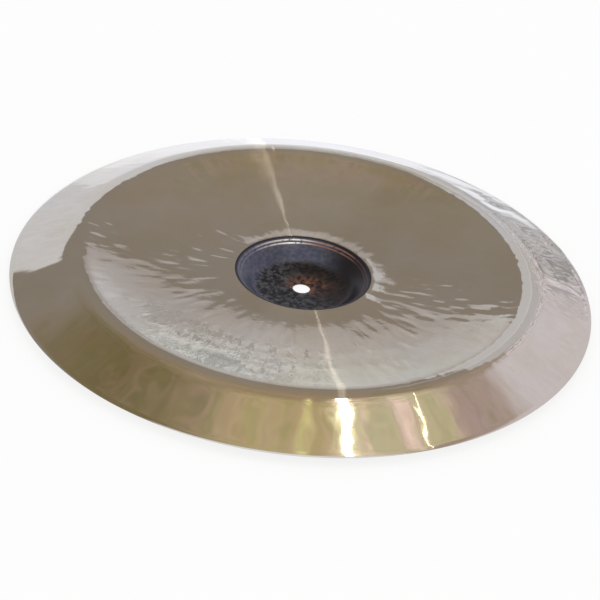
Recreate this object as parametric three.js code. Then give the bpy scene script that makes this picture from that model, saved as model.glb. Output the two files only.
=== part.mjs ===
// A china cymbal, sixteen inches across, in millimetres with +Z up.
//
// The real thing is one casting of bell bronze, rolled to a disc, pressed, hammered and turned to
// a thin sheet. Nothing is bolted or glued to it, so the model is one shell of revolution about Z.
// It lies the way it hangs on its stand, with the hollow of the cup facing up. From the centre
// outwards the sheet makes a flat seat with the hole in it, a shallow cup, a bow that is nearly
// level round the cup and dishes up outwards, a rounded ridge, and the flange that turns back down
// to the rim. The origin is the middle of the cup's underside, the face that the cymbal sits on.

import * as THREE from "three";

// Across the cymbal, from the rim inwards. The flange's width is measured from the rim to the top of
// the ridge, and the width of the cup's wall from the lip to the edge of the floor.
const rimDiameter = 406.4;
const flangeWidth = 47.15;
const ridgeDiameter = rimDiameter - 2 * flangeWidth;
const dishDiameter = 164;
const collarDiameter = 128;
const cupDiameter = 95.6;
const cupWallWidth = 17.3;
const floorDiameter = cupDiameter - 2 * cupWallWidth;
const seatDiameter = 28;
const holeDiameter = 12;

// Heights of the upper face.
const ridgeAboveRim = 17.7;
const cupLipAboveRim = 7.7;
const cupDepth = 13.2;
const floorRise = 0.7;

// Roundings of the upper face.
const ridgeRounding = 30;
const lipRounding = 3.5;
const floorRounding = 10;

// Slopes of the upper face, positive where it climbs outwards. The collar is a low welt that the
// press leaves round the cup: it falls a little from the cup's lip before the bow starts to climb.
const lipSlope = THREE.MathUtils.degToRad(-2.5);
const collarEdgeSlope = THREE.MathUtils.degToRad(1.5);
const dishStartSlope = THREE.MathUtils.degToRad(3);

// The sheet is turned thinner towards the rim.
const sheetAtCup = 1.3;
const sheetAtRim = 0.8;

// Rings left by the turning tool high on the cup's wall, each a shallow bite into the upper face.
const ringBite = 0.25;
const ringPlaceShares = [0.62, 0.84];
const ringLipShare = 0.03;

// How finely each stretch is cut into flats.
const stepsRound = 72;
const floorSteps = 2;
const floorRoundingSteps = 4;
const lipRoundingSteps = 3;
const collarSteps = 2;
const innerBowSteps = 2;
const dishSteps = 6;
const ridgeSteps = 8;

// A station is a point of the upper face in the half plane through the axis: how far out it is,
// how high it is above the rim, and the slope that the sheet has there.
const station = (out, up, slope) => ({ out, up, slope });

// Stations round an arc that starts at one station and ends at a given slope. The last one is in.
function arc(from, endSlope, radius, steps) {
  const turn = Math.sign(endSlope - from.slope);
  const stations = [];
  for (let i = 1; i <= steps; i += 1) {
    const slope = THREE.MathUtils.lerp(from.slope, endSlope, i / steps);
    const out = from.out + turn * radius * (Math.sin(slope) - Math.sin(from.slope));
    const up = from.up - turn * radius * (Math.cos(slope) - Math.cos(from.slope));
    stations.push(station(out, up, slope));
  }
  return stations;
}

// The same arc, told how far out it ends instead of its radius.
function arcOutTo(from, endSlope, endOut, steps) {
  const radius = (endOut - from.out) / Math.abs(Math.sin(endSlope) - Math.sin(from.slope));
  return arc(from, endSlope, radius, steps);
}

// The centre of an arc that touches the sheet at a station: below it for a positive radius, and
// above it for a negative one.
function arcCentre(at, radius) {
  return new THREE.Vector2(
    at.out + radius * Math.sin(at.slope),
    at.up - radius * Math.cos(at.slope),
  );
}

// The flange is the straight line from the rim that touches the ridge's rounding.
function flangeSlope() {
  const centreBelowRim = ridgeRounding - ridgeAboveRim;
  const centreDistance = Math.hypot(flangeWidth, centreBelowRim);
  return Math.atan2(centreBelowRim, flangeWidth) - Math.asin(ridgeRounding / centreDistance);
}

// The dish is the arc from the end of the inner bow that touches the ridge's rounding. The two
// circles touch, so their centres lie as far apart as their radii added up.
function dishEnd(start) {
  const ridgeTop = station(ridgeDiameter / 2, ridgeAboveRim, 0);
  const ridgeCentre = arcCentre(ridgeTop, ridgeRounding);
  const apart = new THREE.Vector2(start.out, start.up).sub(ridgeCentre);
  const upright = new THREE.Vector2(-Math.sin(start.slope), Math.cos(start.slope));
  const radius = (apart.lengthSq() - ridgeRounding ** 2) /
    (2 * (ridgeRounding - apart.dot(upright)));
  const between = arcCentre(start, -radius).sub(ridgeCentre);
  return { radius, slope: Math.atan2(-between.x, between.y) };
}

// The cup's floor dishes up from the flat seat to where the corner of the floor begins.
function floorArc(seatEdge) {
  const run = (floorDiameter - seatDiameter) / 2;
  const endSlope = 2 * Math.atan2(floorRise, run);
  return arcOutTo(seatEdge, endSlope, floorDiameter / 2, floorSteps);
}

// The cup's wall is the straight line that touches the floor's rounding and the lip's. This is
// its upper end, where the lip's rounding begins.
function wallTop(floorEnd, lip) {
  const low = arcCentre(floorEnd, -floorRounding);
  const high = arcCentre(lip, lipRounding);
  const roundings = floorRounding + lipRounding;
  const centresSlope = Math.atan2(high.y - low.y, high.x - low.x);
  const slope = centresSlope + Math.asin(roundings / high.distanceTo(low));
  return station(
    high.x - lipRounding * Math.sin(slope),
    high.y + lipRounding * Math.cos(slope),
    slope,
  );
}

// Two more stations for each ring: the lip that the tool left, and the bite just outside it.
function ringStations(wallStart, wallEnd) {
  const along = (share, depth) => station(
    THREE.MathUtils.lerp(wallStart.out, wallEnd.out, share) + depth * Math.sin(wallEnd.slope),
    THREE.MathUtils.lerp(wallStart.up, wallEnd.up, share) - depth * Math.cos(wallEnd.slope),
    wallEnd.slope,
  );
  return ringPlaceShares.flatMap((share) => [
    along(share, 0),
    along(share + ringLipShare, ringBite),
  ]);
}

// The stations from the hole to the foot of the cup's wall.
function cupFloor(lip) {
  const up = lip.up - cupDepth;
  const seatEdge = station(seatDiameter / 2, up, 0);
  return [station(holeDiameter / 2, up, 0), seatEdge, ...floorArc(seatEdge)];
}

// The stations from the cup's lip to the rim.
function bowAndFlange(lip) {
  const collar = arcOutTo(lip, collarEdgeSlope, collarDiameter / 2, collarSteps);
  const innerBow = arcOutTo(collar.at(-1), dishStartSlope, dishDiameter / 2, innerBowSteps);
  const end = dishEnd(innerBow.at(-1));
  const dish = arc(innerBow.at(-1), end.slope, end.radius, dishSteps);
  const ridge = arc(dish.at(-1), flangeSlope(), ridgeRounding, ridgeSteps);
  const rim = station(rimDiameter / 2, 0, flangeSlope());
  return [...collar, ...innerBow, ...dish, ...ridge, rim];
}

// Every station of the upper face, from the hole to the rim, with the rings and without them.
function upperFace() {
  const lip = station(cupDiameter / 2, cupLipAboveRim, lipSlope);
  const floor = cupFloor(lip);
  const wallEnd = wallTop(floor.at(-1), lip);
  const corner = arc(floor.at(-1), wallEnd.slope, floorRounding, floorRoundingSteps);
  const lipArc = arc(wallEnd, lipSlope, lipRounding, lipRoundingSteps);
  const inside = [...floor, ...corner];
  const outside = [wallEnd, ...lipArc, ...bowAndFlange(lip)];
  const rings = ringStations(corner.at(-1), wallEnd);
  return { turned: [...inside, ...rings, ...outside], plain: [...inside, ...outside] };
}

// The cup keeps one thickness, and the bow and the flange thin out towards the rim.
function sheetThickness(out) {
  const lip = cupDiameter / 2;
  const rim = rimDiameter / 2;
  return THREE.MathUtils.mapLinear(Math.max(out, lip), lip, rim, sheetAtCup, sheetAtRim);
}

// The under face lies one sheet's thickness below the plain upper face, square to it.
function underFace(plain) {
  return plain.map((at) => arcCentre(at, sheetThickness(at.out)));
}

// The closed outline of the cut sheet, standing on zero at the underside of the cup.
function sheetOutline() {
  const { turned, plain } = upperFace();
  const upper = turned.map(({ out, up }) => new THREE.Vector2(out, up));
  const outline = [...underFace(plain), ...upper.reverse()];
  outline.push(outline[0].clone());
  const lowest = Math.min(...outline.map((point) => point.y));
  return outline.map((point) => new THREE.Vector2(point.x, point.y - lowest));
}

// The outline turned about the axis, which the lathe takes as Y and the cymbal has as Z.
function cymbal() {
  const geometry = new THREE.LatheGeometry(sheetOutline(), stepsRound);
  geometry.rotateX(Math.PI / 2);
  const bronze = new THREE.MeshStandardMaterial({
    color: 0xb9a584,
    roughness: 0.14,
    metalness: 1,
  });
  const mesh = new THREE.Mesh(geometry, bronze);
  mesh.name = "cymbal";
  return mesh;
}

const part = new THREE.Group();
part.name = "china_cymbal";
part.add(cymbal());

export default part;
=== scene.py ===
# %% [markdown]
# # A china cymbal in hammered bronze
#
# The real thing is a single thin sheet of bell bronze, a little over forty centimetres across. Its
# middle is a shallow raw cup with a hole, its bow is hammered and turned bright, and its flange
# turns back down from a rounded ridge. There is nothing to assemble, so this lesson is about one
# surface and what it mirrors: the sheet's profile, the hammer marks, the turning grooves, the
# fire-blackened cup, and the room that a mirror needs round it.

import math

import bpy
import numpy as np
from mathutils import Matrix, Vector


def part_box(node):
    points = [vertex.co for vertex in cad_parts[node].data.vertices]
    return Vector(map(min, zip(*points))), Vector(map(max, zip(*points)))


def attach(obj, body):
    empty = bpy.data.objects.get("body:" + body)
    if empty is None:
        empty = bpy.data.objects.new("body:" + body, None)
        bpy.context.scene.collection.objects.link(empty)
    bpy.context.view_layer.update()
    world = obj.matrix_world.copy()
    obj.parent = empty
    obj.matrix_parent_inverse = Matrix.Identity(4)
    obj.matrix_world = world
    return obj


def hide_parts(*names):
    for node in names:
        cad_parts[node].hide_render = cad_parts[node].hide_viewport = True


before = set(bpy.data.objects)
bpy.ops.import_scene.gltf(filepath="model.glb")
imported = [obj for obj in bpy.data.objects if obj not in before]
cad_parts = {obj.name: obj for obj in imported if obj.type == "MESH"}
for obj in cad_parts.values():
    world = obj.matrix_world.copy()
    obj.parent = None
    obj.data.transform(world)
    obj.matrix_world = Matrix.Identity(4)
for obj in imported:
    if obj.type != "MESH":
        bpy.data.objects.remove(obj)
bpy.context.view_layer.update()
CYMBAL_LOW, CYMBAL_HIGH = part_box("cymbal")
MM = 0.001
print("the cymbal is", [round(side / MM, 2) for side in CYMBAL_HIGH - CYMBAL_LOW], "mm")

# %% [markdown]
# ## The camera
#
# A picture of a disc tells where it was taken from. The rim shows as an ellipse whose flatness
# gives the height of the eye above the rim's plane, and the way the cup sits off the middle of that
# ellipse gives the distance. We could shift the lens to frame the cymbal, but the other views keep
# the shift, so the camera is aimed instead: it is turned until the middle of the rim's plane falls
# on the pixel where the photograph has it, and rolled, because the photograph leans.

# %% Aim the camera
RIM_RADIUS = CYMBAL_HIGH.x
RIM_HEIGHT = 6.8 * MM
EYE_DISTANCE = 8 * RIM_RADIUS
EYE_ELEVATION = math.radians(32.3)
EYE_ROLL = math.radians(6.51)
FRAME_PIXELS = 600
FOCAL_PIXELS = 2327
RIM_CENTRE_PIXEL = (302.2, 281.4)
SENSOR_WIDTH = 36.0
TO_THE_EYE = Vector((0, -math.cos(EYE_ELEVATION), math.sin(EYE_ELEVATION)))
EYE_PLACE = Vector((0, 0, RIM_HEIGHT)) + EYE_DISTANCE * TO_THE_EYE


def add_to_scene(name, data):
    """A new object with its data, at the origin."""
    made = bpy.data.objects.new(name, data)
    bpy.context.scene.collection.objects.link(made)
    return made


def aimed_camera():
    """The camera looks from EYE_DISTANCE at the middle of the rim's plane, leans by EYE_ROLL, and is
    then turned by the small angle between the picture's middle and RIM_CENTRE_PIXEL."""
    data = bpy.data.cameras.new("photo_camera")
    data.sensor_width = SENSOR_WIDTH
    data.lens = FOCAL_PIXELS / FRAME_PIXELS * SENSOR_WIDTH
    camera = add_to_scene("photo_camera", data)
    ahead = -TO_THE_EYE
    level_right = Vector((1, 0, 0))
    level_up = level_right.cross(ahead)
    right = math.cos(EYE_ROLL) * level_right + math.sin(EYE_ROLL) * level_up
    up = math.cos(EYE_ROLL) * level_up - math.sin(EYE_ROLL) * level_right
    leaning = Matrix((right, up, -ahead)).transposed()
    middle = FRAME_PIXELS / 2
    seen_at = Vector((RIM_CENTRE_PIXEL[0] - middle, middle - RIM_CENTRE_PIXEL[1], -FOCAL_PIXELS))
    turn = seen_at.rotation_difference(Vector((0, 0, -1))).to_matrix()
    camera.matrix_world = Matrix.Translation(EYE_PLACE) @ (leaning @ turn).to_4x4()
    return camera


bpy.context.scene.camera = aimed_camera()
bpy.context.scene.view_settings.view_transform = "Standard"
print("camera", EYE_DISTANCE, "m away, lens", round(bpy.context.scene.camera.data.lens, 1), "mm")

# %% [markdown]
# ## Helpers for nodes
#
# Materials and the world are trees of nodes. Placing each node by hand makes a long script, so a
# few helpers add a node, feed its sockets and give back its output. A socket takes either a plain
# value or the output of another node.

# %% Node helpers
def feed(tree, socket, value):
    """Link a socket to another node's output, or give it a plain value."""
    if isinstance(value, bpy.types.NodeSocket):
        tree.links.new(value, socket)
    else:
        socket.default_value = value


def put(tree, kind, inputs=None, output=0, **settings):
    """Add a node of a kind, set its properties, feed its sockets and return one of its outputs."""
    made = tree.nodes.new(kind)
    for name, value in settings.items():
        setattr(made, name, value)
    for key, value in (inputs or {}).items():
        feed(tree, made.inputs[key], value)
    return made.outputs[output] if made.outputs else None


def maths(tree, operation, first, second=0.0):
    """A Math node on two numbers."""
    return put(tree, "ShaderNodeMath", {0: first, 1: second}, operation=operation)


def times(tree, first, second):
    """The product of two numbers."""
    return maths(tree, "MULTIPLY", first, second)


def plus(tree, first, second):
    """The sum of two numbers."""
    return maths(tree, "ADD", first, second)


def vector_maths(tree, operation, first, second=(0, 0, 0), output=0):
    """A Vector Math node on two vectors or colours."""
    return put(tree, "ShaderNodeVectorMath", {0: first, 1: second}, output, operation=operation)


def scaled(tree, vector, scale):
    """A vector or colour times a number."""
    return put(tree, "ShaderNodeVectorMath", {0: vector, "Scale": scale}, operation="SCALE")


def length_of(tree, vector):
    """How long a vector is."""
    return vector_maths(tree, "LENGTH", vector, output="Value")


def parts_of(tree, vector):
    """The x, y and z of a vector."""
    split = tree.nodes.new("ShaderNodeSeparateXYZ")
    feed(tree, split.inputs[0], vector)
    return tuple(split.outputs)


def smooth_range(tree, value, start, end, low=0.0, high=1.0):
    """Low where value is below start, high above end, and a smooth S between them."""
    inputs = {"Value": value, "From Min": start, "From Max": end, "To Min": low, "To Max": high}
    return put(tree, "ShaderNodeMapRange", inputs, interpolation_type="SMOOTHSTEP")


def window_of(tree, value, rise, fall):
    """1 between the two ranges, 0 outside them, with smooth sides: up over rise, down over fall."""
    return times(tree, smooth_range(tree, value, *rise),
                 smooth_range(tree, value, fall[1], fall[0]))


def soft_noise(tree, place, scale, detail, roughness=0.5):
    """Noise over a place, mostly between a third and two thirds."""
    inputs = {"Vector": place, "Scale": scale, "Detail": detail, "Roughness": roughness}
    return put(tree, "ShaderNodeTexNoise", inputs)


def blend(tree, share, first, second):
    """A mix of two colours, all first at share 0 and all second at share 1."""
    inputs = {0: share, 6: first, 7: second}
    return put(tree, "ShaderNodeMix", inputs, output=2, data_type="RGBA")


def mixed_shaders(tree, share, first, second):
    """A mix of two shaders, all first at share 0 and all second at share 1."""
    return put(tree, "ShaderNodeMixShader", {0: share, 1: first, 2: second})


def ramp(tree, value, stops):
    """A colour ramp with smooth steps, from a list of (place, colour)."""
    made = tree.nodes.new("ShaderNodeValToRGB")
    made.color_ramp.interpolation = "EASE"
    elements = made.color_ramp.elements
    while len(elements) < len(stops):
        elements.new(0.5)
    for element, (place, colour) in zip(elements, stops):
        element.position = place
        element.color = colour
    feed(tree, made.inputs[0], value)
    return made.outputs[0]


def rgb(red, green, blue):
    """A colour as a node socket wants it, with full alpha."""
    return (red, green, blue, 1.0)


def grey(level):
    """A colour with the same level of red, green and blue."""
    return rgb(level, level, level)


def empty_tree(owner):
    """The node tree of a material or world, switched on and cleared."""
    owner.use_nodes = True
    owner.node_tree.nodes.clear()
    return owner.node_tree


print("node helpers are ready")

# %% [markdown]
# ## The room that the bronze mirrors
#
# A polished sheet has hardly any colour of its own: what we see on it is the room. In the
# photograph the bow mirrors a pale wall below and a darker, warmer ceiling above, and the line
# between the two runs across the bow as a ragged border. The flange is tilted the other way, so it
# mirrors the floor on its far side, the side walls left and right, and the ceiling straight above
# on its near side. So the world is a small studio worked out from the direction of a ray alone,
# with x to the right, y ahead and z up. Only mirrored rays see it. Lit surfaces and the camera get
# plain white. Behind the camera the walls are darker and warmer, so that the bronze keeps its
# colour when it is seen from there.

# %% Colours of the room
# A stop is how far up a direction points, from 0 for level to 1 for straight up, and a colour.
WALL_STOPS = (
    (0.00, rgb(0.77, 0.80, 0.85)),
    (0.14, rgb(0.63, 0.66, 0.71)),
    (0.27, rgb(0.56, 0.59, 0.64)),
    (0.36, rgb(0.50, 0.50, 0.54)),
    (0.43, rgb(0.44, 0.43, 0.46)),
    (0.50, rgb(0.39, 0.37, 0.39)),
)
LEFT_WALL = rgb(0.66, 0.68, 0.77)
RIGHT_WALL = rgb(0.655, 0.630, 0.72)
RIGHT_CORNER = rgb(0.66, 0.68, 0.79)
DARK_STRIP = rgb(0.53, 0.53, 0.59)
BACK_STOPS = (
    (0.00, rgb(0.56, 0.52, 0.46)),
    (0.25, rgb(0.45, 0.41, 0.355)),
    (0.50, rgb(0.32, 0.285, 0.235)),
    (0.80, rgb(0.28, 0.245, 0.195)),
)
SOFT_BOX = rgb(0.86, 0.90, 1.00)
CEILING_STOPS = (
    (0.48, rgb(0.252, 0.229, 0.212)),
    (0.70, rgb(0.272, 0.240, 0.207)),
    (0.80, rgb(0.298, 0.246, 0.186)),
    (0.88, rgb(0.345, 0.276, 0.194)),
    (0.94, rgb(0.335, 0.266, 0.178)),
    (1.00, rgb(0.500, 0.430, 0.255)),
)
OLIVE = rgb(0.188, 0.157, 0.084)
ROSE = rgb(0.390, 0.325, 0.300)
LAMP_GLOW = rgb(0.600, 0.540, 0.425)
CLOUD_GREEN = rgb(0.93, 0.97, 0.84)
CLOUD_ROSE = rgb(1.08, 1.01, 1.08)
WHITE = grey(1.0)
LIT_BY_WORLD = grey(0.97)
print("the wall has", len(WALL_STOPS), "shades and the ceiling", len(CEILING_STOPS))

# %% [markdown]
# The wall gets darker with height, and things that stand in front of it break its light up into
# patches. They need no shapes of their own: noise does, kept to the part of the wall where they
# are. Such a part is a window with soft sides, told by the ranges over which it sets in and ends.

# %% The wall
LEFT_WALL_X = (-0.02, -0.15)
RIGHT_WALL_X = (0.03, 0.30)
CORNER_X = ((0.05, 0.12), (0.24, 0.34))
CORNER_Z = (0.46, 0.38)
DARK_STRIP_X = ((0.06, 0.20), (0.38, 0.46))
DARK_STRIP_Z = ((-0.03, 0.03), (0.12, 0.26))
CRINKLE_X = ((-0.020, 0.016), (0.045, 0.065))
CRINKLE_Z = ((0.16, 0.24), (0.36, 0.47))
CRINKLE_SQUEEZE = (1.6, 1, 1)
CRINKLE_SCALE = 70.0
CRINKLE_LIGHT = (-0.48, 0.40)
CLUTTER_X = ((0.10, 0.24), (0.42, 0.50))
CLUTTER_SCALE = 60.0
CLUTTER_LIGHT = (-0.42, 0.28)
CLUTTER_EVERYWHERE = 0.12
CLUTTER_MORE_RIGHT = 0.95
PALE_BAND_X = ((-0.032, -0.008), (-0.004, 0.018))
PALE_BAND_LIGHT = 0.10
PATCH_EDGES = (0.38, 0.62)


def shades(tree, place, scale, darkest, lightest):
    """Soft patches between a darkest and a lightest value."""
    noise = soft_noise(tree, place, scale, 2.0, 0.6)
    return smooth_range(tree, noise, *PATCH_EDGES, darkest, lightest)


def clutter(tree, direction, x, z):
    """How much light the things in front of the wall leave: 1, less or more by narrow crinkles a
    little right of the middle, a pale band beside them, and broad patches, strong on the right and
    faint elsewhere."""
    middle = times(tree, window_of(tree, x, *CRINKLE_X), window_of(tree, z, *CRINKLE_Z))
    squeezed = vector_maths(tree, "MULTIPLY", direction, CRINKLE_SQUEEZE)
    narrow = times(tree, shades(tree, squeezed, CRINKLE_SCALE, *CRINKLE_LIGHT), middle)
    strength = times(tree, window_of(tree, x, *CLUTTER_X), CLUTTER_MORE_RIGHT)
    strength = plus(tree, strength, CLUTTER_EVERYWHERE)
    broad = times(tree, shades(tree, direction, CLUTTER_SCALE, *CLUTTER_LIGHT), strength)
    pale = times(tree, window_of(tree, x, *PALE_BAND_X), PALE_BAND_LIGHT)
    return plus(tree, plus(tree, narrow, broad), plus(tree, pale, 1.0))


def wall_colour(tree, direction, x, z):
    """The wall gets darker with height in front of us, and turns to LEFT_WALL and RIGHT_WALL at the
    sides. A dark strip low on the right is furniture along the foot of the wall."""
    wall = ramp(tree, z, WALL_STOPS)
    wall = blend(tree, smooth_range(tree, x, *LEFT_WALL_X), wall, LEFT_WALL)
    wall = blend(tree, smooth_range(tree, x, *RIGHT_WALL_X), wall, RIGHT_WALL)
    corner = times(tree, window_of(tree, x, *CORNER_X), smooth_range(tree, z, *CORNER_Z))
    wall = blend(tree, corner, wall, RIGHT_CORNER)
    strip = times(tree, window_of(tree, z, *DARK_STRIP_Z), window_of(tree, x, *DARK_STRIP_X))
    wall = blend(tree, strip, wall, DARK_STRIP)
    return scaled(tree, wall, clutter(tree, direction, x, z))


print("the wall is ready")

# %% [markdown]
# The bright strips on the near flange have blurred, patchy sides. Along each of them the sheet
# keeps its turn, the way round the axis that it leans to, and only its tilt changes. A mirror's
# normal lies half way between the way to the light and the way to the eye. So the sum of a spot's
# direction and the eye's gives the turn and the tilt of the sheet that shows this spot, and a soft
# strip of light is painted on the ceiling wherever that turn is near the strip's. The eye is the
# fixed one of the photograph, so the strips stay on the ceiling when the camera moves.

# %% The ceiling
OLIVE_X = (-0.12, -0.50)
OLIVE_Z = (0.56, 0.74)
ROSE_X = (0.12, 0.50)
LAMP_GLOW_X = ((0.12, 0.20), (0.42, 0.48))
LAMP_GLOW_Z = (0.80, 0.88)
CLOUD_SCALE = 14.0
CLOUD_PUSH = 0.025
CLOUD_EDGES = (-0.9, 0.9)
MOTTLE_SCALE = 55.0
MOTTLE_LIGHT = (0.93, 1.08)
CEILING_HIGH_Z = (0.60, 0.80)
STRIP_PATCHES = (0.35, 1.0)
FLANGE_TILT = (math.radians(15), math.radians(20))
# Each soft strip of light: its turn and its half width on the sheet in degrees, its strength and
# its colour.
SOFT_STRIPS = (
    (-76.0, 7.0, 1.00, rgb(0.92, 0.82, 0.64)),
    (-76.3, 2.7, 1.00, rgb(1.60, 1.45, 1.15)),
    (-86.3, 2.0, 1.00, rgb(0.92, 0.91, 0.46)),
    (-61.9, 3.0, 0.95, rgb(0.90, 0.76, 0.68)),
    (-71.5, 2.6, 0.70, rgb(0.84, 0.70, 0.56)),
)


def turn_and_tilt(tree, direction):
    """The turn and the tilt of the sheet that mirrors a direction to the eye, in radians: its
    normal lies half way between that direction and the one to the eye."""
    normal = vector_maths(tree, "ADD", direction, tuple(TO_THE_EYE))
    x, y, z = parts_of(tree, vector_maths(tree, "NORMALIZE", normal))
    return maths(tree, "ARCTAN2", y, x), maths(tree, "ARCCOSINE", z)


def with_soft_strips(tree, direction, ceiling):
    """The ceiling with a glow along each of SOFT_STRIPS, uneven, and fading out at the ridge."""
    turn, tilt = turn_and_tilt(tree, direction)
    patches = times(tree, smooth_range(tree, tilt, *FLANGE_TILT),
                    shades(tree, direction, MOTTLE_SCALE, *STRIP_PATCHES))
    for middle, half, strength, colour in SOFT_STRIPS:
        middle, half = math.radians(middle), math.radians(half)
        share = window_of(tree, turn, (middle - half, middle), (middle, middle + half))
        share = times(tree, times(tree, share, patches), strength)
        ceiling = blend(tree, share, ceiling, colour)
    return ceiling


def ceiling_colour(tree, direction, x, z):
    """The ceiling gets lighter and more golden towards the top, olive in its left corner, rosy
    towards the right, and lighter still round the lamps. Broad clouds move these edges about and
    tint the high part, and a fine mottle covers it."""
    cloud = shades(tree, direction, CLOUD_SCALE, -1.0, 1.0)
    x = plus(tree, x, times(tree, cloud, CLOUD_PUSH))
    ceiling = ramp(tree, z, CEILING_STOPS)
    olive = times(tree, smooth_range(tree, x, *OLIVE_X), smooth_range(tree, z, *OLIVE_Z))
    ceiling = blend(tree, olive, ceiling, OLIVE)
    ceiling = blend(tree, smooth_range(tree, x, *ROSE_X), ceiling, ROSE)
    glow = times(tree, window_of(tree, x, *LAMP_GLOW_X), smooth_range(tree, z, *LAMP_GLOW_Z))
    ceiling = blend(tree, glow, ceiling, LAMP_GLOW)
    ceiling = with_soft_strips(tree, direction, ceiling)
    high = smooth_range(tree, z, *CEILING_HIGH_Z)
    mottle = shades(tree, direction, MOTTLE_SCALE, *MOTTLE_LIGHT)
    ceiling = vector_maths(tree, "MULTIPLY", ceiling, blend(tree, high, WHITE, mottle))
    tint = blend(tree, smooth_range(tree, cloud, *CLOUD_EDGES), CLOUD_GREEN, CLOUD_ROSE)
    return vector_maths(tree, "MULTIPLY", ceiling, blend(tree, high, WHITE, tint))


print("the ceiling has", len(SOFT_STRIPS), "soft strips of light")

# %% [markdown]
# The border between wall and ceiling is a height that depends on how far left or right we look. It
# is a sum of smooth steps: level in front of us, lower to the left, and much higher to the right,
# where the light of a window reaches further up.

# %% The studio world
BORDER_AHEAD = 0.500
BORDER_LEFT_X = (0.01, -0.13)
BORDER_LEFT_DROP = 0.056
BORDER_FAR_LEFT_X = (-0.15, -0.50)
BORDER_FAR_LEFT_DROP = 0.045
BORDER_RIGHT_X = (0.12, 0.52)
BORDER_RIGHT_RISE = 0.225
BORDER_SOFTER_X = (0.15, 0.45)
BORDER_SOFTNESS = 0.011
BORDER_RIGHT_SOFTNESS = 0.060
BACK_Y = (-0.12, -0.36)
SOFT_BOX_X = ((-0.62, -0.50), (0.50, 0.62))
SOFT_BOX_Y = (-0.12, -0.40)
SOFT_BOX_Z = (0.50, 0.64)


def border_height(tree, x):
    """The height of a direction at which the wall ends and the ceiling starts, from its x."""
    left = smooth_range(tree, x, *BORDER_LEFT_X, 0.0, BORDER_LEFT_DROP)
    far_left = smooth_range(tree, x, *BORDER_FAR_LEFT_X, 0.0, BORDER_FAR_LEFT_DROP)
    right = smooth_range(tree, x, *BORDER_RIGHT_X, 0.0, BORDER_RIGHT_RISE)
    climb = maths(tree, "SUBTRACT", right, plus(tree, left, far_left))
    return plus(tree, climb, BORDER_AHEAD)


def mirrored_room(tree):
    """The colour of the room in a direction: the wall below the border and the ceiling above it,
    and behind the camera the darker walls and, high up, a large soft box. From the photograph's
    side only the far side of the cup and the rim's edge mirror the soft box."""
    direction = put(tree, "ShaderNodeTexCoord", output="Generated")
    x, y, z = parts_of(tree, direction)
    above = maths(tree, "SUBTRACT", z, border_height(tree, x))
    softness = smooth_range(tree, x, *BORDER_SOFTER_X, BORDER_SOFTNESS, BORDER_RIGHT_SOFTNESS)
    share = smooth_range(tree, maths(tree, "DIVIDE", above, softness), -1.0, 1.0)
    wall = wall_colour(tree, direction, x, z)
    room = blend(tree, share, wall, ceiling_colour(tree, direction, x, z))
    room = blend(tree, smooth_range(tree, y, *BACK_Y), room, ramp(tree, z, BACK_STOPS))
    box = times(tree, smooth_range(tree, y, *SOFT_BOX_Y), window_of(tree, x, *SOFT_BOX_X))
    box = times(tree, box, smooth_range(tree, z, *SOFT_BOX_Z))
    return blend(tree, box, room, SOFT_BOX)


def studio_world():
    """The room for mirrored rays, and plain white for every other ray."""
    world = bpy.data.worlds.new("studio")
    tree = empty_tree(world)
    mirrored = put(tree, "ShaderNodeLightPath", output="Is Glossy Ray")
    camera_ray = put(tree, "ShaderNodeLightPath", output="Is Camera Ray")
    plain = blend(tree, camera_ray, LIT_BY_WORLD, WHITE)
    colour = blend(tree, mirrored, plain, mirrored_room(tree))
    background = put(tree, "ShaderNodeBackground", {"Color": colour, "Strength": 1.0})
    put(tree, "ShaderNodeOutputWorld", {"Surface": background})
    return world


bpy.context.scene.world = studio_world()
print("the border ahead is", round(math.degrees(math.asin(BORDER_AHEAD)), 1), "degrees up")

# %% [markdown]
# ## The lamps
#
# Tubes under the ceiling make the sharp lines in the strips of light on the near flange. The
# turning grooves smear each one into a streak that runs right across the cymbal through the cup,
# the bow-tie that every turned pan shows. A line is straight only if its tube lies where the sheet,
# tilted more and more towards one turn, mirrors it to the eye. The eye is near, so the mirrored
# places of a real spot on the flange lie on a slight curve, and one straight tube would draw a
# hook. A row of short tubes follows the curve: it is placed by the turn of its line and the tilts
# at which its tubes meet. Area lamps are sampled well even when they are narrow and bright; these
# are hidden from the camera and hardly light the floor. They hang high up, so that every spot of
# the sheet sees them in the same direction.

# %% Hang the tube lamps
LAMP_HEIGHT = 20.0
FLANGE_SPOT_OUT = 0.170
FLANGE_SPOT_UP = 0.018
# Each row of tubes: its name, the turn of its line and the tilts where its tubes meet, in
# degrees, then its width in metres, its brightness and its tint.
TUBES = (
    ("tube_main", -77.8, (14.0, 18.5, 23.5, 34.0), 0.50, 9.5, (1.0, 0.96, 0.90)),
    ("tube_thin", -61.7, (16.0, 19.5, 23.5, 34.0), 0.09, 3.4, (1.0, 1.0, 0.66)),
)


def mirrored_place(turn, tilt):
    """The place at LAMP_HEIGHT that a spot on the flange, tilted towards a turn, mirrors to the eye.
    The direction is twice the eye's direction laid on the normal, less the eye's direction."""
    spot = Vector((FLANGE_SPOT_OUT * math.cos(turn), FLANGE_SPOT_OUT * math.sin(turn),
                   FLANGE_SPOT_UP))
    to_eye = (EYE_PLACE - spot).normalized()
    normal = Vector((math.sin(tilt) * math.cos(turn), math.sin(tilt) * math.sin(turn),
                     math.cos(tilt)))
    direction = 2 * to_eye.dot(normal) * normal - to_eye
    return spot + direction * ((LAMP_HEIGHT - spot.z) / direction.z)


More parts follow.
